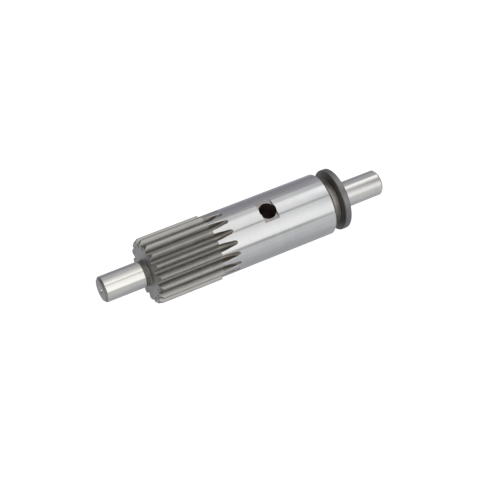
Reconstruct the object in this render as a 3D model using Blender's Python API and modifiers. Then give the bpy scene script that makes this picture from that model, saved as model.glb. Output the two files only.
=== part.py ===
"""Pinion shaft: one bar of steel, turned between centres, hobbed, cross-drilled and ground.

A spur pinion is cut into one end of a thick ground body. A short collar stands behind a deep
groove at the other end, and a bearing journal runs out of each end. The shaft lies along X
with the pinion towards -X, and z = 0 is the surface under the teeth, which are its widest part.
Lengths are in metres.
"""

import bmesh
import bpy
from math import acos, atan2, cos, hypot, pi, radians, sin, sqrt, tan

# Spur teeth, full depth, cut with a hob
module = 0.002
tooth_count = 17
pressure_angle = radians(20)
addendum = 1.0
dedendum = 1.25
root_fillet_radius = 0.0007
tooth_thinning = 0.00015
tooth_length = 0.0385
full_depth_length = 0.039
hob_radius = 0.0175
tooth_end_chamfer = 0.0014
tooth_turn = radians(1.85)

# Body
body_radius = 0.018
body_length = 0.073
body_chamfer = 0.0014

# Journal on the pinion end, with the undercut that the grinding wheel runs into
pinion_journal_radius = 0.0075
pinion_journal_length = 0.0275
relief_width = 0.0031
relief_depth = 0.00025
relief_fillet_radius = 0.001

# Groove, collar and the journal behind it
groove_width = 0.0053
groove_radius = 0.012
groove_fillet_radius = 0.0008
collar_radius = 0.018
collar_width = 0.0038
collar_chamfer = 0.0004
collar_journal_radius = 0.0075
collar_journal_length = 0.0279
journal_chamfer = 0.00125

# Centre holes that the bar was turned between
centre_pilot_radius = 0.001
centre_pilot_depth = 0.0045
centre_mouth_radius = 0.0024
centre_angle = radians(60)
drill_point_angle = radians(120)

# Hole drilled across the body, and the flat milled round its mouth
cross_hole_radius = 0.005
cross_hole_position = 0.0345
flat_width = 0.0092
flat_height = 0.0168

# How finely round forms are faceted
turning_steps = 6 * tooth_count
fillet_steps = 3
flank_steps = 4
runout_steps = 8
drill_steps = 32
cutter_overrun = 0.001
weld_distance = 0.00001
crease_angle = radians(35)

# Bare steel
steel_colour = (0.58, 0.58, 0.57)
steel_roughness = 0.28

reference_radius = module * tooth_count / 2
root_radius = reference_radius - module * dedendum
tip_radius = reference_radius + module * addendum
base_radius = reference_radius * cos(pressure_angle)
widest_radius = max(tip_radius, body_radius)

# Stations along the shaft, from the middle of its length
overall_length = (
    pinion_journal_length
    + tooth_length
    + body_length
    + groove_width
    + collar_width
    + collar_journal_length
)
pinion_end = -overall_length / 2
pinion_face = pinion_end + pinion_journal_length
tooth_shoulder = pinion_face + tooth_length
body_end = tooth_shoulder + body_length
collar_start = body_end + groove_width
collar_end = collar_start + collar_width
collar_journal_end = overall_length / 2
cross_hole_x = tooth_shoulder + cross_hole_position


def involute(angle):
    """The involute function of an angle."""
    return tan(angle) - angle


def gap_half_angle(radius):
    """Half of the angle that the space between two teeth spans at a radius."""
    tooth_half_angle = pi / (2 * tooth_count) - tooth_thinning / reference_radius
    tooth_half_angle += involute(pressure_angle)
    if radius > base_radius:
        tooth_half_angle -= involute(acos(base_radius / radius))
    return pi / tooth_count - tooth_half_angle


# The tooth turn sets one tip nearer to straight down than its neighbour, and the shaft lies on it
axis_height = tip_radius * cos(gap_half_angle(tip_radius) - tooth_turn)


def arc(centre, radius, first, last, steps):
    """Points on an arc of a profile, from one angle to another, both ends included."""
    angles = [first + (last - first) * step / steps for step in range(steps + 1)]
    return [(centre[0] + radius * cos(a), centre[1] + radius * sin(a)) for a in angles]


def centre_hole(end, inward):
    """Pilot and cone of a centre hole, from the axis out to its mouth. A point is (x, radius)."""
    cone_depth = (centre_mouth_radius - centre_pilot_radius) / tan(centre_angle / 2)
    tip_depth = centre_pilot_depth + centre_pilot_radius / tan(drill_point_angle / 2)
    return [
        (end + inward * tip_depth, 0),
        (end + inward * centre_pilot_depth, centre_pilot_radius),
        (end + inward * cone_depth, centre_pilot_radius),
        (end, centre_mouth_radius),
    ]


def turned_profile():
    """Outline of the turned bar from its pinion end to its collar end, as (x, radius)."""
    relief_radius = pinion_journal_radius - relief_depth
    relief_start = pinion_face - relief_width
    relief_fillet = (pinion_face - relief_fillet_radius, relief_radius + relief_fillet_radius)
    left_fillet = (body_end + groove_fillet_radius, groove_radius + groove_fillet_radius)
    right_fillet = (collar_start - groove_fillet_radius, groove_radius + groove_fillet_radius)
    points = centre_hole(pinion_end, 1)
    points += [
        (pinion_end, pinion_journal_radius - journal_chamfer),
        (pinion_end + journal_chamfer, pinion_journal_radius),
        (relief_start - relief_depth, pinion_journal_radius),
        (relief_start, relief_radius),
    ]
    points += arc(relief_fillet, relief_fillet_radius, 1.5 * pi, 2 * pi, fillet_steps)
    points += [
        (pinion_face, tip_radius - tooth_end_chamfer),
        (pinion_face + tooth_end_chamfer, tip_radius),
        (tooth_shoulder, tip_radius),
        (tooth_shoulder, body_radius),
        (body_end - body_chamfer, body_radius),
        (body_end, body_radius - body_chamfer),
    ]
    points += arc(left_fillet, groove_fillet_radius, pi, 1.5 * pi, fillet_steps)
    points += arc(right_fillet, groove_fillet_radius, 1.5 * pi, 2 * pi, fillet_steps)
    points += [
        (collar_start, collar_radius - collar_chamfer),
        (collar_start + collar_chamfer, collar_radius),
        (collar_end - collar_chamfer, collar_radius),
        (collar_end, collar_radius - collar_chamfer),
        (collar_end, collar_journal_radius),
        (collar_journal_end - journal_chamfer, collar_journal_radius),
        (collar_journal_end, collar_journal_radius - journal_chamfer),
    ]
    points += reversed(centre_hole(collar_journal_end, -1))
    return points


def tooth_gap_outline():
    """Section of one space between teeth, as (across, out from the axis), closed above the bar."""
    rise = (tip_radius - base_radius) / flank_steps
    radii = [base_radius + rise * step for step in range(flank_steps + 1)]
    flank = [(r * sin(gap_half_angle(r)), r * cos(gap_half_angle(r))) for r in radii]
    top = (flank[-1][0], widest_radius + cutter_overrun)
    wall_angle = gap_half_angle(base_radius)
    fillet_out = root_radius + root_fillet_radius
    fillet_across = fillet_out * sin(wall_angle) - root_fillet_radius * cos(wall_angle)
    centre = (fillet_across, sqrt(fillet_out**2 - fillet_across**2))
    lean = atan2(centre[0], centre[1])
    fillet = arc(centre, root_fillet_radius, -pi / 2 - lean, -wall_angle, fillet_steps)
    right = fillet + flank + [top]
    left = [(-across, out) for across, out in right]
    return right + left[::-1]


def new_object(name, mesh, collection, material):
    """An object for a mesh, in a collection, with one material."""
    obj = bpy.data.objects.new(name, mesh)
    mesh.materials.append(material)
    collection.objects.link(obj)
    return obj


def bare_steel():
    """The finish of the whole shaft."""
    material = bpy.data.materials.new("ground_steel")
    material.use_nodes = True
    shader = material.node_tree.nodes["Principled BSDF"]
    shader.inputs["Base Color"].default_value = (*steel_colour, 1)
    shader.inputs["Metallic"].default_value = 1.0
    shader.inputs["Roughness"].default_value = steel_roughness
    return material


def turned_bar(collection, material):
    """The bar before it is cut: the profile spun round the shaft's axis."""
    mesh = bpy.data.meshes.new("pinion_shaft")
    shape = bmesh.new()
    corners = [shape.verts.new((radius, 0, x)) for x, radius in reversed(turned_profile())]
    for above, below in zip(corners, corners[1:]):
        shape.edges.new((above, below))
    shape.to_mesh(mesh)
    shape.free()
    bar = new_object("pinion_shaft", mesh, collection, material)
    bar.location.z = axis_height
    bar.rotation_euler.y = pi / 2
    spin = bar.modifiers.new("turned", "SCREW")
    spin.axis = "Z"
    spin.steps = turning_steps
    spin.render_steps = turning_steps
    spin.use_merge_vertices = True
    spin.merge_threshold = weld_distance
    return bar


def hob_stations():
    """Where the gap outline stands along a cut, as (x, angle turned about the hob's centre)."""
    hob_centre_out = root_radius + hob_radius
    last_angle = acos((hob_centre_out - widest_radius - cutter_overrun) / hob_radius)
    straight = [(pinion_face - cutter_overrun, 0)]
    turned = [
        (pinion_face + full_depth_length, last_angle * step / runout_steps)
        for step in range(runout_steps + 1)
    ]
    return straight + turned


def add_tooth_gap(shape, turn):
    """Adds to a mesh one space between teeth, with the run-out where the hob leaves the steel."""
    hob_centre_out = root_radius + hob_radius
    outline = tooth_gap_outline()
    rings = []
    for x, angle in hob_stations():
        ring = []
        for across, out in outline:
            reach = hob_centre_out - out
            station = x + reach * sin(angle)
            height = hob_centre_out - reach * cos(angle)
            y = across * cos(turn) - height * sin(turn)
            z = across * sin(turn) + height * cos(turn)
            ring.append(shape.verts.new((station, y, z + axis_height)))
        rings.append(ring)
    for ring, after in zip(rings, rings[1:]):
        for here in range(len(outline)):
            there = (here + 1) % len(outline)
            shape.faces.new((ring[here], ring[there], after[there], after[here]))
    shape.faces.new(rings[0][::-1])
    shape.faces.new(rings[-1])


def tooth_gap_cutter(collection, material):
    """All the spaces between the teeth. The tooth turn is their angle from the hole's line."""
    mesh = bpy.data.meshes.new("tooth_gaps")
    shape = bmesh.new()
    for tooth in range(tooth_count):
        add_tooth_gap(shape, pi + tooth_turn + 2 * pi * tooth / tooth_count)
    bmesh.ops.recalc_face_normals(shape, faces=shape.faces)
    shape.to_mesh(mesh)
    shape.free()
    return new_object("tooth_gaps", mesh, collection, material)


def cross_hole_cutter(collection, material):
    """The drill that goes right through the body."""
    mesh = bpy.data.meshes.new("cross_hole")
    shape = bmesh.new()
    bmesh.ops.create_cone(
        shape,
        cap_ends=True,
        segments=drill_steps,
        radius1=cross_hole_radius,
        radius2=cross_hole_radius,
        depth=2 * (body_radius + cutter_overrun),
    )
    shape.to_mesh(mesh)
    shape.free()
    cutter = new_object("cross_hole", mesh, collection, material)
    cutter.location = (cross_hole_x, 0, axis_height)
    return cutter


def flat_cutter(collection, material):
    """The block of steel that the end mill takes off round the mouth of the hole."""
    depth = body_radius + cutter_overrun - flat_height
    half_width = hypot(body_radius, cutter_overrun)
    mesh = bpy.data.meshes.new("milled_flat")
    shape = bmesh.new()
    bmesh.ops.create_cube(shape, size=1)
    bmesh.ops.scale(shape, vec=(flat_width, 2 * half_width, depth), verts=shape.verts)
    shape.to_mesh(mesh)
    shape.free()
    cutter = new_object("milled_flat", mesh, collection, material)
    cutter.location = (cross_hole_x, 0, axis_height + flat_height + depth / 2)
    return cutter


def clear_scene():
    """Takes away whatever the scene starts with."""
    for obj in list(bpy.data.objects):
        bpy.data.objects.remove(obj, do_unlink=True)


def new_collection(name):
    """A collection linked to the scene."""
    collection = bpy.data.collections.new(name)
    bpy.context.scene.collection.children.link(collection)
    return collection


def shade_between_creases(obj):
    """Shades an object smooth, apart from the edges that turn by more than the crease angle."""
    tree = bpy.data.node_groups.new("smooth_between_creases", "GeometryNodeTree")
    tree.interface.new_socket("Shape", in_out="INPUT", socket_type="NodeSocketGeometry")
    tree.interface.new_socket("Shape", in_out="OUTPUT", socket_type="NodeSocketGeometry")
    given = tree.nodes.new("NodeGroupInput")
    smooth = tree.nodes.new("GeometryNodeSetShadeSmooth")
    turn = tree.nodes.new("GeometryNodeInputMeshEdgeAngle")
    crease = tree.nodes.new("FunctionNodeCompare")
    crease.operation = "GREATER_THAN"
    crease.inputs[1].default_value = crease_angle
    sharp = tree.nodes.new("GeometryNodeSetShadeSmooth")
    sharp.domain = "EDGE"
    sharp.inputs["Shade Smooth"].default_value = False
    result = tree.nodes.new("NodeGroupOutput")
    tree.links.new(given.outputs[0], smooth.inputs["Geometry"])
    tree.links.new(smooth.outputs[0], sharp.inputs["Geometry"])
    tree.links.new(turn.outputs["Unsigned Angle"], crease.inputs[0])
    tree.links.new(crease.outputs[0], sharp.inputs["Selection"])
    tree.links.new(sharp.outputs[0], result.inputs[0])
    obj.modifiers.new("smooth_between_creases", "NODES").node_group = tree


def build():
    """Turns the bar, then cuts the teeth, the hole and the flat."""
    clear_scene()
    parts = new_collection("pinion_shaft")
    cutters = new_collection("cutters")
    cutters.hide_render = True
    finish = bare_steel()
    bar = turned_bar(parts, finish)
    tools = [
        tooth_gap_cutter(cutters, finish),
        cross_hole_cutter(cutters, finish),
        flat_cutter(cutters, finish),
    ]
    for tool in tools:
        tool.hide_render = True
        tool.display_type = "WIRE"
        cut = bar.modifiers.new(tool.name, "BOOLEAN")
        cut.operation = "DIFFERENCE"
        cut.solver = "EXACT"
        cut.object = tool
    shade_between_creases(bar)


build()
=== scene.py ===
"""Pinion shaft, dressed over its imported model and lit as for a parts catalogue.

The shaft lies along X with the pinion towards -X. Lengths are in metres, and z = 0 is the table.
"""

from math import acos, atan2, cos, dist, hypot, pi, radians, sin, sqrt, tan

import bpy
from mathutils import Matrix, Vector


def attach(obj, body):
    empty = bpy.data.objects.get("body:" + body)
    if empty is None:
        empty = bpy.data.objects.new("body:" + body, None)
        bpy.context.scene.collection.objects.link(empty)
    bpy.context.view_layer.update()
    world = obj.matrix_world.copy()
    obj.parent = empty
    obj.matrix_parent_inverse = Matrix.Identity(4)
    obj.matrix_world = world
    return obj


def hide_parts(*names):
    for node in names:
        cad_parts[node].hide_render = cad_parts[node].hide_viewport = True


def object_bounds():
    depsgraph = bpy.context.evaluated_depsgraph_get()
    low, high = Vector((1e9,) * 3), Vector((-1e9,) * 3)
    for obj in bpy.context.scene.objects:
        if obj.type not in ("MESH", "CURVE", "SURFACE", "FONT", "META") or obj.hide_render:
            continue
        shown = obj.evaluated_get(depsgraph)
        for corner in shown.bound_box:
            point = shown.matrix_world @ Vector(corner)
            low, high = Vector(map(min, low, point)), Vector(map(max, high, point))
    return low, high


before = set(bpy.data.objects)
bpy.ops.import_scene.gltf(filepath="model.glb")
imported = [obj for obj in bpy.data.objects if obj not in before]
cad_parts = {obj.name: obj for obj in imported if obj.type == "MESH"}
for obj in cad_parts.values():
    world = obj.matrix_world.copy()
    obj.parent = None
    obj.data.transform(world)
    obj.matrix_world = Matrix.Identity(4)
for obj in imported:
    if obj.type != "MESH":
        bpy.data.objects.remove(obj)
cad_low, cad_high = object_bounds()


# The turned bar. One bar of alloy steel is turned between centres: a journal with its relief, the
# body, a groove, a collar and the second journal. It is drawn lying along X through the origin.
# The stretch that carries the teeth is left out here and comes from the hobbed spaces below.

pinion_end = -0.088
relief_start = -0.0636
pinion_face = -0.0605
hobbed_end = -0.0097
body_end = 0.051
collar_start = 0.0563
collar_end = 0.0601
collar_journal_end = 0.088
axis_height = 0.01884972
centre_mouth_radius = 0.0024
centre_cone_depth = 0.002425
centre_pilot_radius = 0.001
centre_pilot_depth = 0.0045
centre_point_depth = 0.0051
journal_radius = 0.0075
journal_chamfer = 0.00125
relief_depth = 0.00025
relief_fillet = 0.001
face_inner_radius = 0.0125
body_radius = 0.018
body_chamfer = 0.0014
groove_radius = 0.012
groove_fillet = 0.0008
collar_radius = 0.018
collar_chamfer = 0.0004
edge_break = 0.00012
turning_steps = 340
fillet_steps = 6


def linear(colour):
    """A colour written as sRGB hex, as the linear values that a shader takes."""
    channels = [int(colour[start : start + 2], 16) / 255 for start in (1, 3, 5)]
    return [c / 12.92 if c <= 0.04045 else ((c + 0.055) / 1.055) ** 2.4 for c in channels] + [1]


def add_node(tree, kind, inputs=None, **settings):
    """Adds a node to a tree. Each input takes a value, or the output that is linked to it."""
    node = tree.nodes.new(kind)
    for name, value in settings.items():
        setattr(node, name, value)
    for name, value in (inputs or {}).items():
        if isinstance(value, bpy.types.NodeSocket):
            tree.links.new(value, node.inputs[name])
        else:
            node.inputs[name].default_value = value
    return node


def bare_steel(name, dark, light, marks, roughness, mark_depth, anisotropy, film_and_shade=None):
    """Steel with the marks of a tool on it, each as long as given along the profile and round it.

    Soil (film_and_shade) is a colour, whether it changes with the "radius" or "along" the shaft,
    and the place where it is strongest and the one where it ends. It carries a film's colour and
    painted shade.
    """
    radius_weight = 1.3
    cloud_size = 0.00625
    noise_low, noise_high = 0.7, 1.3
    material = bpy.data.materials.new(name)
    material.use_nodes = True
    tree = material.node_tree
    tree.nodes.clear()
    mark_length, mark_width = marks
    place = add_node(tree, "ShaderNodeTexCoord").outputs["Object"]
    from_axis = add_node(
        tree, "ShaderNodeVectorMath", {0: place, 1: (0, 0, axis_height)}, operation="SUBTRACT"
    ).outputs[0]
    parts = add_node(tree, "ShaderNodeSeparateXYZ", {0: from_axis}).outputs
    spoke = add_node(tree, "ShaderNodeCombineXYZ", {1: parts[1], 2: parts[2]}).outputs[0]
    radius = add_node(tree, "ShaderNodeVectorMath", {0: spoke}, operation="LENGTH").outputs["Value"]
    # Along a cylinder only x changes, and across a face only the radius. This runs on over both,
    # and over a 45 degree chamfer too, because the radius has more weight than x.
    profile = add_node(
        tree,
        "ShaderNodeMath",
        {0: radius, 1: radius_weight, 2: parts[0]},
        operation="MULTIPLY_ADD",
    ).outputs[0]
    lay = add_node(tree, "ShaderNodeCombineXYZ", {0: profile, 1: parts[1], 2: parts[2]}).outputs[0]
    stretched = add_node(
        tree,
        "ShaderNodeVectorMath",
        {0: lay, 1: (1 / mark_length, 1 / mark_width, 1 / mark_width)},
        operation="MULTIPLY",
    ).outputs[0]
    lines = add_node(
        tree, "ShaderNodeTexNoise", {"Vector": stretched, "Scale": 1.0, "Detail": 3.0}
    ).outputs[0]
    clouds = add_node(
        tree, "ShaderNodeTexNoise", {"Vector": place, "Scale": 1 / cloud_size, "Detail": 2.0}
    ).outputs[0]
    both = add_node(tree, "ShaderNodeMath", {0: lines, 1: clouds}, operation="ADD").outputs[0]
    share = add_node(
        tree,
        "ShaderNodeMapRange",
        {"Value": both, "From Min": noise_low, "From Max": noise_high},
    ).outputs[0]
    tone = add_node(
        tree,
        "ShaderNodeMix",
        {"Factor": share, "A": linear(dark), "B": linear(light)},
        data_type="RGBA",
    ).outputs["Result"]
    # The film_and_shade colour is a real film in places and painted shade in the roots and pockets
    if film_and_shade:
        film_and_shade_colour, changes_with, strongest_at, gone_at = film_and_shade
        spot = radius if changes_with == "radius" else parts[0]
        clear_of_film_and_shade = add_node(
            tree, "ShaderNodeMapRange", {"Value": spot, "From Min": strongest_at, "From Max": gone_at}
        ).outputs[0]
        tone = add_node(
            tree,
            "ShaderNodeMix",
            {"Factor": clear_of_film_and_shade, "A": linear(film_and_shade_colour), "B": tone},
            data_type="RGBA",
        ).outputs["Result"]
    dullness = add_node(
        tree,
        "ShaderNodeMapRange",
        {
            "Value": both,
            "From Min": noise_low,
            "From Max": noise_high,
            "To Min": roughness[0],
            "To Max": roughness[1],
        },
    ).outputs[0]
    bump = add_node(
        tree, "ShaderNodeBump", {"Height": lines, "Strength": 1.0, "Distance": mark_depth}
    ).outputs[0]
    round_axis = add_node(
        tree, "ShaderNodeVectorMath", {0: (1, 0, 0), 1: from_axis}, operation="CROSS_PRODUCT"
    ).outputs[0]
    shader = add_node(
        tree,
        "ShaderNodeBsdfPrincipled",
        {
            "Base Color": tone,
            "Metallic": 1.0,
            "Roughness": dullness,
            "Normal": bump,
            "Anisotropic": anisotropy,
            "Tangent": round_axis,
        },
    ).outputs[0]
    add_node(tree, "ShaderNodeOutputMaterial", {"Surface": shader})
    return material


# Cylindrically ground after hardening: bright, with fine marks round the axis, and close enough to
# a mirror that the lamps stand in it as sharp bands. The marks are drawn 0.6 mm apart, about ten
# times as far as the wheel leaves them, so that they show.
ground_body = bare_steel(
    "ground_steel_body", "#c8c9cb", "#cfcfcf", (0.0006, 0.02), (0.12, 0.16), 0.0000002, 0.3
)
ground_journal = bare_steel(
    "ground_steel_journal", "#cbcac8", "#d2d1cf", (0.0006, 0.02), (0.12, 0.17), 0.0000003, 0.3
)
# Turned, hardened and not ground: the relief, the groove's walls and the chamfer and shoulder of
# the teeth keep a dark, brownish skin and the rings of the lathe tool.
turned_steel = bare_steel(
    "turned_hardened_steel", "#7e7c79", "#93918d", (0.0005, 0.03), (0.38, 0.48), 0.000002, 0.3
)
# The floor of the groove was finished with a broad tool and kept a lighter, straw-coloured skin.
grooved_steel = bare_steel(
    "grooved_straw_steel", "#a5a29c", "#b7b4ad", (0.0006, 0.03), (0.38, 0.46), 0.000001, 0.3
)
# The collar's rim was skimmed after hardening, which left it greyer and a little smoother.
skimmed_steel = bare_steel(
    "skimmed_satin_steel", "#797879", "#8c8b8c", (0.0004, 0.03), (0.34, 0.44), 0.000003, 0.2
)
# The chamfer of the pinion-end journal was cut with a fresh tool and is brighter.
chamfered_steel = bare_steel(
    "chamfered_steel", "#979695", "#a9a8a7", (0.0004, 0.03), (0.32, 0.42), 0.000002, 0.3
)
# The end faces, and the chamfers of the body and of the collar-end journal, were cut last and are
# cleaner. The faces have rings round their centres.
faced_steel = bare_steel(
    "faced_end_steel", "#b3b2af", "#c6c5c2", (0.0004, 0.03), (0.42, 0.52), 0.000002, 0.3
)
# A drill's wall is never touched after hardening, so brown scale stays on it. The walls are also
# painted dark, as painted shade inside the bores.
drilled_steel = bare_steel(
    "drilled_scale_and_shade_steel", "#6e605a", "#86766e", (0.002, 0.002), (0.5, 0.6), 0.000004, 0.0
)


def eased(profile):
    """A profile of (x, radius, finish) points with each corner rounded off by a small curve."""
    points = [profile[0]]
    for before, corner, after in zip(profile, profile[1:], profile[2:]):
        back, ahead = dist(before[:2], corner[:2]), dist(corner[:2], after[:2])
        # On a short side the curve takes two fifths of it
        reach = min(edge_break, 0.4 * back, 0.4 * ahead)
        start = [c + (b - c) * reach / back for b, c in zip(before[:2], corner[:2])]
        end = [c + (a - c) * reach / ahead for a, c in zip(after[:2], corner[:2])]
        for share in (0, 1 / 3, 2 / 3, 1):
            near = [(1 - share) ** 2 * s + share**2 * e for s, e in zip(start, end)]
            x, radius = [n + 2 * share * (1 - share) * c for n, c in zip(near, corner[:2])]
            points.append((x, radius, corner[2]))
    return points + [profile[-1]]


def fillet(x, radius, size, side, finish):
    """A quarter round where the bar meets a wall at x, its points in the order of x.

    The bar lies on the side before the wall, -1, or on the side after it, 1.
    """
    turns = [pi / 2 * step / fillet_steps for step in range(fillet_steps + 1)]
    points = [
        (x + side * size * (1 - sin(turn)), radius + size * (1 - cos(turn)), finish)
        for turn in turns
    ]
    return points if side < 0 else points[::-1]


def centre_hole(end, inward, finishes):
    """The 60 degree centre hole in an end of the bar, from its drilled bottom out to its mouth."""
    return [
        (end + inward * centre_point_depth, 0, finishes[0]),
        (end + inward * centre_pilot_depth, centre_pilot_radius, finishes[1]),
        (end + inward * centre_cone_depth, centre_pilot_radius, finishes[2]),
        (end, centre_mouth_radius, finishes[3]),
    ]


def spun(profile):
    """Points, faces and finishes of a (x, radius, finish) profile spun round the shaft's axis."""
    points, faces, marks = [], [], []
    for x, radius, finish in profile:
        for step in range(turning_steps):
            angle = 2 * pi * step / turning_steps
            points.append((x, radius * sin(angle), -radius * cos(angle)))
    for ring in range(len(profile) - 1):
        for step in range(turning_steps):
            here, there = ring * turning_steps, (ring + 1) * turning_steps
            after = (step + 1) % turning_steps
            faces.append((here + step, here + after, there + after, there + step))
            marks.append(profile[ring][2])
    return points, faces, marks


def mesh_of(name, points, faces, marks):
    """A mesh whose faces wear the finishes in marks."""
    finishes = list(dict.fromkeys(marks))
    mesh = bpy.data.meshes.new(name)
    mesh.from_pydata(points, [], faces)
    for finish in finishes:
        mesh.materials.append(finish)
    mesh.polygons.foreach_set("material_index", [finishes.index(mark) for mark in marks])
    return mesh


# Each point has the finish of the stretch that begins there
pinion_end_profile = eased(
    centre_hole(pinion_end, 1, (drilled_steel, drilled_steel, ground_journal, faced_steel))
    + [
        (pinion_end, journal_radius - journal_chamfer, chamfered_steel),
        (pinion_end + journal_chamfer, journal_radius, ground_journal),
        (relief_start - relief_depth, journal_radius, turned_steel),
        (relief_start, journal_radius - relief_depth, turned_steel),
    ]
    + fillet(pinion_face, journal_radius - relief_depth, relief_fillet, -1, turned_steel)[:-1]
    + [
        (pinion_face, journal_radius - relief_depth + relief_fillet, faced_steel),
        (pinion_face, face_inner_radius, faced_steel),
    ]
)
collar_end_profile = eased(
    [
        (hobbed_end, body_radius, ground_body),
        (body_end - body_chamfer, body_radius, faced_steel),
        (body_end, body_radius - body_chamfer, turned_steel),
    ]
    + fillet(body_end, groove_radius, groove_fillet, 1, grooved_steel)
    + fillet(collar_start, groove_radius, groove_fillet, -1, turned_steel)
    + [
        (collar_start, collar_radius - collar_chamfer, skimmed_steel),
        (collar_start + collar_chamfer, collar_radius, skimmed_steel),
        (collar_end - collar_chamfer, collar_radius, skimmed_steel),
        (collar_end, collar_radius - collar_chamfer, faced_steel),
        (collar_end, journal_radius, ground_journal),
        (collar_journal_end - journal_chamfer, journal_radius, faced_steel),
        (collar_journal_end, journal_radius - journal_chamfer, faced_steel),
    ]
    + centre_hole(
        collar_journal_end, -1, (drilled_steel, drilled_steel, drilled_steel, ground_journal)
    )[::-1]
)
points, faces, marks = spun(pinion_end_profile)
more_points, more_faces, more_marks = spun(collar_end_profile)
faces += [tuple(corner + len(points) for corner in face) for face in more_faces]
bar_mesh = mesh_of("turned_bar", points + more_points, faces, marks + more_marks)


# The hobbed teeth. Seventeen full-depth involute teeth of module 2 are cut into the bar's end.
# The hob leaves the steel on its own radius, so every space runs out into the body as a pocket
# with a round nose. One space is drawn here from the middle of a tooth to the middle of the next.

tooth_count = 17
half_pitch = pi / tooth_count
module = 0.002
pressure_angle = radians(20)
tooth_thinning = 0.00015
reference_radius = module * tooth_count / 2
base_radius = reference_radius * cos(pressure_angle)
tip_radius = 0.019
tip_chamfer = 0.0014
root_radius = 0.0145
root_fillet = 0.0012
tooth_shoulder = -0.022
full_depth_end = -0.0215
hob_radius = 0.0175
hob_centre_out = root_radius + hob_radius
hob_overrun = 0.0006
root_shade_top_radius = 0.0159
film_full = -0.0165
root_steps = 5
flank_steps = 8
run_out_steps = 30
land_steps = turning_steps // (2 * tooth_count)
tooth_stations = [-0.055, -0.045, -0.035]
rounding_error = 1e-8

# Hardened with the rest and never ground: satin grey, with the hob's streaks along the flanks.
# Towards the roots the grey is painted darker, as painted shade between the teeth.
hobbed_steel = bare_steel(
    "hobbed_hardened_steel",
    "#a9a8a5",
    "#bfbebb",
    (0.012, 0.0004),
    (0.4, 0.5),
    0.000003,
    0.2,
    # The darker colour at the roots is painted shade
    film_and_shade=("#82807d", "radius", root_radius, root_shade_top_radius),
)
# The tips are the turned outside of the blank, with the lathe's rings still on them.
tip_steel = bare_steel(
    "turned_tip_steel", "#918f8b", "#a5a39f", (0.0005, 0.03), (0.38, 0.48), 0.000002, 0.3
)
# Where the hob runs out, its coolant left a brown film, which begins thinly at the shoulder. The
# darker brown of the pockets is partly painted shade.
run_out_steel = bare_steel(
    "hobbed_brown_steel",
    "#8a857f",
    "#9f9992",
    (0.012, 0.0004),
    (0.42, 0.52),
    0.000003,
    0.2,
    # The film's brown, darker than the flanks, is partly painted shade in the pockets
    film_and_shade=("#969490", "along", tooth_shoulder, film_full),
)


def space_half_angle(radius):
    """Half of the angle that the space between two teeth spans at a radius."""
    half_tooth = pi / (2 * tooth_count) - tooth_thinning / reference_radius
    half_tooth += tan(pressure_angle) - pressure_angle
    if radius > base_radius:
        slope = acos(base_radius / radius)
        half_tooth -= tan(slope) - slope
    return half_pitch - half_tooth


def space_outline():
    """Half of the hob's cut across a space, as (across, out), from the middle of the root up."""
    wall = space_half_angle(base_radius)
    fillet_out = root_radius + root_fillet
    across = fillet_out * sin(wall) - root_fillet * cos(wall)
    out = sqrt(fillet_out**2 - across**2)
    lean = atan2(across, out)
    root = [(root_radius * sin(turn), root_radius * cos(turn)) for turn in (0, lean / 2)]
    first, last = -pi / 2 - lean, -wall
    turns = [first + (last - first) * step / root_steps for step in range(root_steps + 1)]
    corner = [(across + root_fillet * cos(a), out + root_fillet * sin(a)) for a in turns]
    height = tip_radius + hob_overrun - base_radius
    radii = [base_radius + height * step / flank_steps for step in range(flank_steps + 1)]
    flank = [(r * sin(space_half_angle(r)), r * cos(space_half_angle(r))) for r in radii]
    return root + corner + flank


outline = space_outline()


def half_section(x, land_radius):
    """Half of the section at a station, from the middle of a space to the middle of a tooth."""
    run = max(0, x - full_depth_end)
    # At the end face the space opens by as much as its edge is broken
    grown = max(0, edge_break - (x - pinion_face))
    cut = []
    for index, (across, out) in enumerate(outline):
        ahead = outline[min(index + 1, len(outline) - 1)]
        behind = outline[index - 1] if index else (-ahead[0], ahead[1])
        length = dist(ahead, behind)
        across, out = (
            across + grown * (ahead[1] - behind[1]) / length,
            out - grown * (ahead[0] - behind[0]) / length,
        )
        cut.append((across, hob_centre_out - sqrt((hob_centre_out - out) ** 2 - run**2)))
    mouth, broken = 0.0, 0.0
    if hypot(*cut[0]) < land_radius - rounding_error:
        # The cut ends where it meets the land. The corner there is broken back along the cut and,
        # by a fifth of the land at most, along the land.
        above = next(i for i, point in enumerate(cut) if hypot(*point) > land_radius)
        low, high = hypot(*cut[above - 1]), hypot(*cut[above])
        share = (land_radius - low) / (high - low)
        corner = [a + (b - a) * share for a, b in zip(cut[above - 1], cut[above])]
        mouth = atan2(*corner)
        broken = min(edge_break / land_radius, 0.2 * (half_pitch - mouth))
        left, last = edge_break, corner
        while above > 0 and dist(last, cut[above - 1]) < left:
            left -= dist(last, cut[above - 1])
            above -= 1
            last = cut[above]
        if above > 0:
            share = left / dist(last, cut[above - 1])
            last = [a + (b - a) * share for a, b in zip(last, cut[above - 1])]
        cut[above:] = [tuple(last)] * (len(cut) - above)
    else:
        cut = [(0.0, land_radius)] * len(cut)
    start = mouth + broken
    turns = [start + (half_pitch - start) * step / land_steps for step in range(land_steps + 1)]
    return cut + [(land_radius * sin(turn), land_radius * cos(turn)) for turn in turns]


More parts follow.
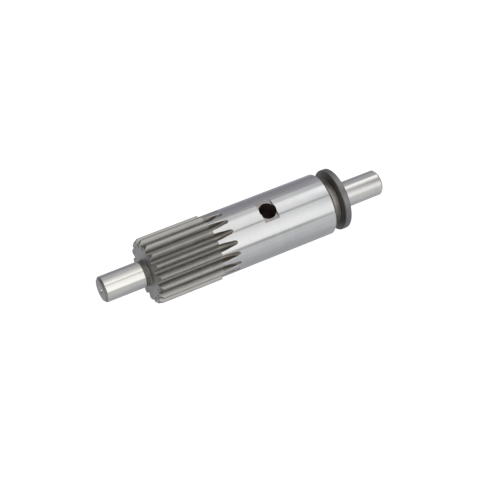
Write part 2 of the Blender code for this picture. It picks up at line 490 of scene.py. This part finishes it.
def hobbed_stations():
    """(x, radius of the land, finish) along the teeth and the run-out."""
    profile = eased(
        [
            (pinion_face, face_inner_radius, faced_steel),
            (pinion_face, tip_radius - tip_chamfer, turned_steel),
            (pinion_face + tip_chamfer, tip_radius, tip_steel),
            (tooth_shoulder, tip_radius, turned_steel),
            (tooth_shoulder, body_radius, ground_body),
            (hobbed_end, body_radius, ground_body),
        ]
    )[1:]
    nose = full_depth_end + sqrt(hob_radius**2 - (hob_centre_out - body_radius) ** 2)
    # The stations of the run-out stand closer together towards its nose
    shares = [1 - (1 - step / run_out_steps) ** 1.5 for step in range(run_out_steps + 1)]
    run_out = [full_depth_end + (nose - full_depth_end) * share for share in shares]
    for x in run_out + tooth_stations:
        after = next(i for i, point in enumerate(profile) if point[0] > x)
        before = profile[after - 1]
        share = (x - before[0]) / (profile[after][0] - before[0])
        radius = before[1] + share * (profile[after][1] - before[1])
        profile.insert(after, (x, radius, before[2]))
    return profile


def tooth_space():
    """Points and faces of one space, its share of the end face and its share of the body."""
    stations = hobbed_stations()
    points, faces, marks = [], [], []
    for x, radius, finish in stations:
        half = half_section(x, radius)
        section = [(-across, out) for across, out in half[:0:-1]] + half
        points += [(x, across, -out) for across, out in section]
    size = 2 * (len(outline) + land_steps + 1) - 1
    for station, (x, _, finish) in enumerate(stations[:-1]):
        cut_finish = run_out_steel if x > tooth_shoulder else hobbed_steel
        for step in range(size - 1):
            here, there = station * size + step, (station + 1) * size + step
            faces.append((here, here + 1, there + 1, there))
            in_space = land_steps < step < size - 2 - land_steps
            marks.append(cut_finish if in_space else finish)
    inner = len(points)
    for step in range(2 * land_steps + 1):
        turn = half_pitch * (step / land_steps - 1)
        points.append((pinion_face, face_inner_radius * sin(turn), -face_inner_radius * cos(turn)))
    faces.append((*range(inner, inner + 2 * land_steps + 1), *range(size - 1, -1, -1)))
    marks.append(faced_steel)
    return points, faces, marks


space = bpy.data.objects.new("tooth_space", mesh_of("tooth_space", *tooth_space()))
bpy.context.scene.collection.objects.link(space)


# The finished shaft. The spaces are set round the bar and joined to it, and the shaft is turned
# and laid on its teeth. Then the hole is drilled across the body and the flat is milled round the
# hole's mouth. The result is one closed mesh.

weld_distance = 0.000002
crease_angle = radians(38)
hole_sides = 96
tool_length = 0.04
mill_height = 0.01
drill_mark, mill_mark = 1, 2

# The end mill's lines run straight across the shaft, over the dark hardened skin.
milled_steel = bare_steel(
    "milled_hardened_steel", "#8b8887", "#9d9a99", (0.0004, 0.01), (0.28, 0.36), 0.000002, 0.0
)

shaft = bpy.data.objects.new("hardened_pinion_shaft", bar_mesh)
bpy.context.scene.collection.objects.link(shaft)

cutting = bpy.data.node_groups.new("teeth_hole_and_flat", "GeometryNodeTree")
cutting.interface.new_socket("Geometry", in_out="OUTPUT", socket_type="NodeSocketGeometry")
sizes = {
    "Bar": ("NodeSocketGeometry", None),
    "Tooth space": ("NodeSocketObject", space),
    "Teeth": ("NodeSocketInt", tooth_count),
    "Turn about the axis": ("NodeSocketFloat", radians(1.85)),
    "Axis height": ("NodeSocketFloat", axis_height),
    "Hole position": ("NodeSocketFloat", 0.0125),
    "Hole radius": ("NodeSocketFloat", 0.005),
    "Flat width": ("NodeSocketFloat", 0.0092),
    "Flat height": ("NodeSocketFloat", 0.0168),
}
for name, (kind, _) in sizes.items():
    cutting.interface.new_socket(name, in_out="INPUT", socket_type=kind)

given = add_node(cutting, "NodeGroupInput").outputs
number = add_node(cutting, "GeometryNodeInputIndex").outputs[0]
pitch = add_node(
    cutting, "ShaderNodeMath", {0: 2 * pi, 1: given["Teeth"]}, operation="DIVIDE"
).outputs[0]
turn = add_node(cutting, "ShaderNodeMath", {0: number, 1: pitch}, operation="MULTIPLY").outputs[0]
seats = add_node(cutting, "GeometryNodePoints", {"Count": given["Teeth"]}).outputs[0]
one_space = add_node(cutting, "GeometryNodeObjectInfo", {"Object": given["Tooth space"]}).outputs
spaces = add_node(
    cutting,
    "GeometryNodeInstanceOnPoints",
    {
        "Points": seats,
        "Instance": one_space["Geometry"],
        "Rotation": add_node(cutting, "ShaderNodeCombineXYZ", {"X": turn}).outputs[0],
    },
).outputs[0]
joined = add_node(cutting, "GeometryNodeJoinGeometry")
pinion = add_node(cutting, "GeometryNodeRealizeInstances", {0: spaces}).outputs[0]
cutting.links.new(pinion, joined.inputs[0])
cutting.links.new(given["Bar"], joined.inputs[0])
closed = add_node(
    cutting,
    "GeometryNodeMergeByDistance",
    {"Geometry": joined.outputs[0], "Distance": weld_distance},
).outputs[0]
lie = add_node(cutting, "ShaderNodeCombineXYZ", {"X": given["Turn about the axis"]}).outputs[0]
lift = add_node(cutting, "ShaderNodeCombineXYZ", {"Z": given["Axis height"]}).outputs[0]
laid = add_node(
    cutting, "GeometryNodeTransform", {"Geometry": closed, "Translation": lift, "Rotation": lie}
).outputs[0]

drill = add_node(
    cutting,
    "GeometryNodeMeshCylinder",
    {"Vertices": hole_sides, "Radius": given["Hole radius"], "Depth": tool_length},
).outputs["Mesh"]
drill_place = add_node(
    cutting, "ShaderNodeCombineXYZ", {"X": given["Hole position"], "Z": given["Axis height"]}
).outputs[0]
mill_size = add_node(
    cutting, "ShaderNodeCombineXYZ", {"X": given["Flat width"], "Y": tool_length, "Z": mill_height}
).outputs[0]
mill = add_node(cutting, "GeometryNodeMeshCube", {"Size": mill_size}).outputs["Mesh"]
mill_raise = add_node(
    cutting, "ShaderNodeMath", {0: given["Flat height"], 1: mill_height / 2}, operation="ADD"
).outputs[0]
mill_place = add_node(
    cutting,
    "ShaderNodeVectorMath",
    {0: drill_place, 1: add_node(cutting, "ShaderNodeCombineXYZ", {"Z": mill_raise}).outputs[0]},
    operation="ADD",
).outputs[0]
cut = laid
for tool, place, mark in ((drill, drill_place, drill_mark), (mill, mill_place, mill_mark)):
    tool = add_node(
        cutting, "GeometryNodeTransform", {"Geometry": tool, "Translation": place}
    ).outputs[0]
    tool = add_node(
        cutting,
        "GeometryNodeStoreNamedAttribute",
        {"Geometry": tool, "Name": "tool", "Value": mark},
        data_type="INT",
        domain="FACE",
    ).outputs[0]
    cut = add_node(
        cutting,
        "GeometryNodeMeshBoolean",
        {"Mesh 1": cut, "Mesh 2": tool},
        operation="DIFFERENCE",
        solver="EXACT",
    ).outputs[0]
smooth = add_node(cutting, "GeometryNodeSetShadeSmooth", {0: cut}, domain="FACE").outputs[0]
edge_turn = add_node(cutting, "GeometryNodeInputMeshEdgeAngle").outputs["Unsigned Angle"]
sharp = add_node(
    cutting, "FunctionNodeCompare", {0: edge_turn, 1: crease_angle}, operation="GREATER_THAN"
).outputs[0]
shaded = add_node(
    cutting,
    "GeometryNodeSetShadeSmooth",
    {0: smooth, "Selection": sharp, "Shade Smooth": False},
    domain="EDGE",
).outputs[0]
result = add_node(cutting, "GeometryNodeRealizeInstances", {0: shaded}).outputs[0]
cut_by = add_node(
    cutting, "GeometryNodeInputNamedAttribute", {"Name": "tool"}, data_type="INT"
).outputs[0]
for mark, finish in ((drill_mark, drilled_steel), (mill_mark, milled_steel)):
    chosen = add_node(
        cutting, "FunctionNodeCompare", {2: cut_by, 3: mark}, data_type="INT", operation="EQUAL"
    ).outputs[0]
    result = add_node(
        cutting,
        "GeometryNodeSetMaterial",
        {"Geometry": result, "Selection": chosen, "Material": finish},
    ).outputs[0]
add_node(cutting, "NodeGroupOutput", {0: result})

made = shaft.modifiers.new("teeth_hole_and_flat", "NODES")
made.node_group = cutting
for socket in cutting.interface.items_tree:
    if socket.in_out == "INPUT" and sizes[socket.name][1] is not None:
        made[socket.identifier] = sizes[socket.name][1]
weighted = shaft.modifiers.new("flat_faces_lead", "WEIGHTED_NORMAL")
weighted.keep_sharp = True
evaluated = shaft.evaluated_get(bpy.context.evaluated_depsgraph_get())
plain = bpy.data.meshes.new_from_object(evaluated)
shaft.modifiers.clear()
shaft.data = plain
plain.attributes.remove(plain.attributes["tool"])
bpy.data.objects.remove(space)
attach(shaft, "root")
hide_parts("pinion_shaft")


# The table. The shaft lies on white paper. The camera sees the paper burnt out to white. In the
# steel the paper shows as a painted glow: greyer, and darkest beside and behind the shaft, which is
# painted shade.

paper_reach = 6
glow_front, glow_back = -0.5, 0.1
# (place across the table, glow in the steel), from in front of the shaft to behind it, where the
# paper turns bluer
# The glow is painted, and its darker stops beside and behind the shaft are painted shade
glow_stops = [
    (-0.5, (0.56, 0.57, 0.585)),
    (-0.24, (0.52, 0.53, 0.545)),
    (-0.064, (0.43, 0.44, 0.455)),
    (-0.03, (0.3, 0.31, 0.32)),
    (0.0, (0.25, 0.26, 0.28)),
    (0.024, (0.26, 0.26, 0.3)),
    (0.045, (0.25, 0.25, 0.29)),
    (0.09, (0.12, 0.12, 0.15)),
]
table_mesh = bpy.data.meshes.new("table")
table_mesh.from_pydata(
    [
        (-paper_reach, -paper_reach, 0),
        (paper_reach, -paper_reach, 0),
        (paper_reach, paper_reach, 0),
        (-paper_reach, paper_reach, 0),
    ],
    [],
    [(0, 1, 2, 3)],
)
table = bpy.data.objects.new("table", table_mesh)
table.location.z = cad_low.z
bpy.context.scene.collection.objects.link(table)
paper = bpy.data.materials.new("white_paper")
paper.use_nodes = True
tree = paper.node_tree
tree.nodes.clear()
place = add_node(tree, "ShaderNodeTexCoord").outputs["Object"]
parts = add_node(tree, "ShaderNodeSeparateXYZ", {0: place}).outputs
back_share = add_node(
    tree, "ShaderNodeMapRange", {"Value": parts[1], "From Min": glow_front, "From Max": glow_back}
).outputs[0]
ramp = add_node(tree, "ShaderNodeValToRGB", {"Fac": back_share})
stops = ramp.color_ramp.elements
stops.remove(stops[1])
for index, (y, colour) in enumerate(glow_stops):
    position = (y - glow_front) / (glow_back - glow_front)
    stop = stops[0] if index == 0 else stops.new(position)
    stop.position = position
    stop.color = (*colour, 1)
rays = add_node(tree, "ShaderNodeLightPath").outputs
mirrored = add_node(
    tree,
    "ShaderNodeMath",
    {0: rays["Is Glossy Ray"], 1: rays["Is Transmission Ray"]},
    operation="MAXIMUM",
).outputs[0]
# Painted light: near the shaft, under the two journals, which are slimmer than the body, the glow
# is raised by up to a quarter
from_middle = add_node(tree, "ShaderNodeMath", {0: parts[0]}, operation="ABSOLUTE").outputs[0]
under_journals = add_node(
    tree, "ShaderNodeMapRange", {"Value": from_middle, "From Min": 0.05, "From Max": 0.09}
).outputs[0]
away = add_node(tree, "ShaderNodeMath", {0: parts[1]}, operation="ABSOLUTE").outputs[0]
near = add_node(
    tree, "ShaderNodeMapRange", {"Value": away, "From Min": 0.12, "From Max": 0.06, "To Max": 0.25}
).outputs[0]
painted_glow_boost = add_node(
    tree, "ShaderNodeMath", {0: under_journals, 1: near, 2: 1.0}, operation="MULTIPLY_ADD"
).outputs[0]
glow_strength = add_node(
    tree, "ShaderNodeMath", {0: mirrored, 1: painted_glow_boost}, operation="MULTIPLY"
).outputs[0]
glow = add_node(
    tree, "ShaderNodeEmission", {"Color": ramp.outputs[0], "Strength": glow_strength}
).outputs[0]
burnt_out = add_node(
    tree, "ShaderNodeMath", {0: rays["Is Camera Ray"], 1: 0.95}, operation="MULTIPLY"
).outputs[0]
lift = add_node(tree, "ShaderNodeEmission", {"Strength": burnt_out}).outputs[0]
lit = add_node(tree, "ShaderNodeBsdfDiffuse", {"Color": linear("#909092")}).outputs[0]
lit = add_node(tree, "ShaderNodeAddShader", {0: lit, 1: lift}).outputs[0]
total = add_node(tree, "ShaderNodeAddShader", {0: lit, 1: glow}).outputs[0]
add_node(tree, "ShaderNodeOutputMaterial", {"Surface": total})
table_mesh.materials.append(paper)


# The light. The shaft lies in a tent of long panels that run beside it, and each panel shows on
# the round steel as a band along the shaft. The panels hang in four lengths, over the pinion's
# journal, over the body and over the two halves of the collar's journal, so their bands differ.

brightest = 1.7
# (degrees up from the -Y horizon and over to the +Y one, brightness)
pinion_panels = [
    (0, 0.74),
    (17, 0.71),
    (24, 1.05),
    (31, 1.6),
    (56, 1.54),
    (72, 1.42),
    (79.5, 1.2),
    (81.5, 0.85),
    (86, 0.85),
    (90, 1.46),
    (100, 1.6),
    (106, 1.25),
    (118, 0.94),
    (128, 0.84),
    (137, 0.62),
    (157, 0.64),
    (180, 0.4),
]
body_panels = [
    (0, 0.74),
    (12, 0.82),
    (15.5, 0.46),
    (22.5, 0.46),
    (24.5, 1.28),
    (34, 1.34),
    (46, 1.31),
    (62, 1.18),
    (81, 1.06),
    (82.5, 0.42),
    (87, 0.42),
    (88.5, 1.1),
    (104, 1.15),
    (113, 1.25),
    (127, 1.22),
    (129.5, 0.84),
    (146, 0.88),
    (152, 0.46),
    (180, 0.35),
]
collar_panels = [
    (0, 0.72),
    (18, 0.9),
    (36, 1.2),
    (48, 1.22),
    (64, 1.0),
    (78, 0.82),
    (93, 0.8),
    (100, 0.95),
    (110, 1.36),
    (117, 1.6),
    (125, 1.58),
    (129, 1.14),
    (135.5, 0.48),
    (160, 0.56),
    (180, 0.48),
]
# Over the far end of the journal a dark gap opens between the panels
end_panels = collar_panels[:4] + [(60, 0.9), (68, 0.2), (88, 0.1), (96, 0.4)] + collar_panels[7:]

world = bpy.data.worlds.new("light_tent")
bpy.context.scene.world = world
world.use_nodes = True
tree = world.node_tree
tree.nodes.clear()
direction = add_node(tree, "ShaderNodeTexCoord").outputs["Generated"]
parts = add_node(tree, "ShaderNodeSeparateXYZ", {0: direction}).outputs
front = add_node(tree, "ShaderNodeMath", {0: parts[1], 1: -1.0}, operation="MULTIPLY").outputs[0]
climb = add_node(tree, "ShaderNodeMath", {0: parts[2], 1: front}, operation="ARCTAN2").outputs[0]
climbed = add_node(
    tree, "ShaderNodeMapRange", {"Value": climb, "From Min": 0.0, "From Max": pi}
).outputs[0]


def hung(panels):
    """The brightness of the tent in one of its lengths."""
    ramp = add_node(tree, "ShaderNodeValToRGB", {"Fac": climbed})
    stops = ramp.color_ramp.elements
    stops.remove(stops[1])
    for index, (degrees_up, level) in enumerate(panels):
        stop = stops[0] if index == 0 else stops.new(degrees_up / 180)
        stop.position = degrees_up / 180
        stop.color = [level / brightest] * 3 + [1]
    return ramp.outputs[0]


# Each length takes over from the one before it as the light comes from farther along the shaft
inside = hung(pinion_panels)
for panels, start, end, easing in (
    (body_panels, 0.27, 0.31, "SMOOTHSTEP"),
    (collar_panels, 0.388, 0.404, "SMOOTHSTEP"),
    (end_panels, 0.425, 0.44, "LINEAR"),
):
    over = add_node(
        tree,
        "ShaderNodeMapRange",
        {"Value": parts[0], "From Min": start, "From Max": end},
        interpolation_type=easing,
    ).outputs[0]
    inside = add_node(
        tree,
        "ShaderNodeMix",
        {"Factor": over, "A": inside, "B": hung(panels)},
        data_type="RGBA",
    ).outputs["Result"]
# Warmer over the pinion, bluer behind the shaft, and darker at the tent's open end
past_pinion = add_node(
    tree, "ShaderNodeMapRange", {"Value": parts[0], "From Min": 0.3, "From Max": 0.36}
).outputs[0]
warm = add_node(
    tree,
    "ShaderNodeMix",
    {"Factor": past_pinion, "A": (1.0, 0.99, 0.958, 1), "B": (1.0, 1.0, 1.0, 1)},
    data_type="RGBA",
).outputs["Result"]
behind = add_node(
    tree, "ShaderNodeMapRange", {"Value": climbed, "From Min": 0.8, "From Max": 0.87}
).outputs[0]
warm_and_cool = add_node(
    tree,
    "ShaderNodeMix",
    {"Factor": behind, "A": warm, "B": (0.98, 0.98, 1.04, 1)},
    data_type="RGBA",
).outputs["Result"]
inside = add_node(
    tree,
    "ShaderNodeMix",
    {"Factor": 1.0, "A": inside, "B": warm_and_cool},
    data_type="RGBA",
    blend_type="MULTIPLY",
).outputs["Result"]
closed_side = add_node(
    tree,
    "ShaderNodeMapRange",
    {"Value": parts[0], "From Min": -0.2, "From Max": 0.14, "To Min": 0.35, "To Max": 1.0},
    interpolation_type="SMOOTHSTEP",
).outputs[0]
strength = add_node(
    tree, "ShaderNodeMath", {0: closed_side, 1: brightest}, operation="MULTIPLY"
).outputs[0]
tent = add_node(
    tree, "ShaderNodeBackground", {"Color": inside, "Strength": strength}
).outputs[0]
# A short strip lamp hangs at the open end. It glints in the centre hole and hardly lights the rest.
off_centre = add_node(
    tree, "ShaderNodeVectorMath", {0: direction, 1: (-0.71, -0.1, 0.69)}, operation="SUBTRACT"
).outputs[0]
in_half_sizes = add_node(
    tree, "ShaderNodeVectorMath", {0: off_centre, 1: (18.0, 3.3, 4.0)}, operation="MULTIPLY"
).outputs[0]
from_centre = add_node(
    tree, "ShaderNodeVectorMath", {0: in_half_sizes}, operation="LENGTH"
).outputs["Value"]
lamp = add_node(
    tree,
    "ShaderNodeMapRange",
    {"Value": from_centre, "From Min": 1.1, "From Max": 0.9, "To Max": 3.0},
).outputs[0]
lamp_light = add_node(
    tree, "ShaderNodeBackground", {"Color": (1, 1, 1, 1), "Strength": lamp}
).outputs[0]
tent = add_node(tree, "ShaderNodeAddShader", {0: tent, 1: lamp_light}).outputs[0]
white = add_node(
    tree, "ShaderNodeBackground", {"Color": (1, 1, 1, 1), "Strength": 1.0}
).outputs[0]
seen = add_node(tree, "ShaderNodeLightPath").outputs["Is Camera Ray"]
backdrop = add_node(tree, "ShaderNodeMixShader", {0: seen, 1: tent, 2: white}).outputs[0]
add_node(tree, "ShaderNodeOutputWorld", {"Surface": backdrop})


# The camera looks down on the pinion's end from the front left, with a long lens.

lens = bpy.data.cameras.new("camera")
lens.lens = 110.646
lens.sensor_width = 36
lens.clip_start = 0.01
camera = bpy.data.objects.new("camera", lens)
camera.location = (-0.27712, -0.32846, 0.72323)
camera.rotation_euler = (radians(30.3525), radians(-7.2866), radians(-27.7822))
bpy.context.scene.collection.objects.link(camera)
bpy.context.scene.camera = camera
bpy.context.scene.view_settings.view_transform = "Standard"
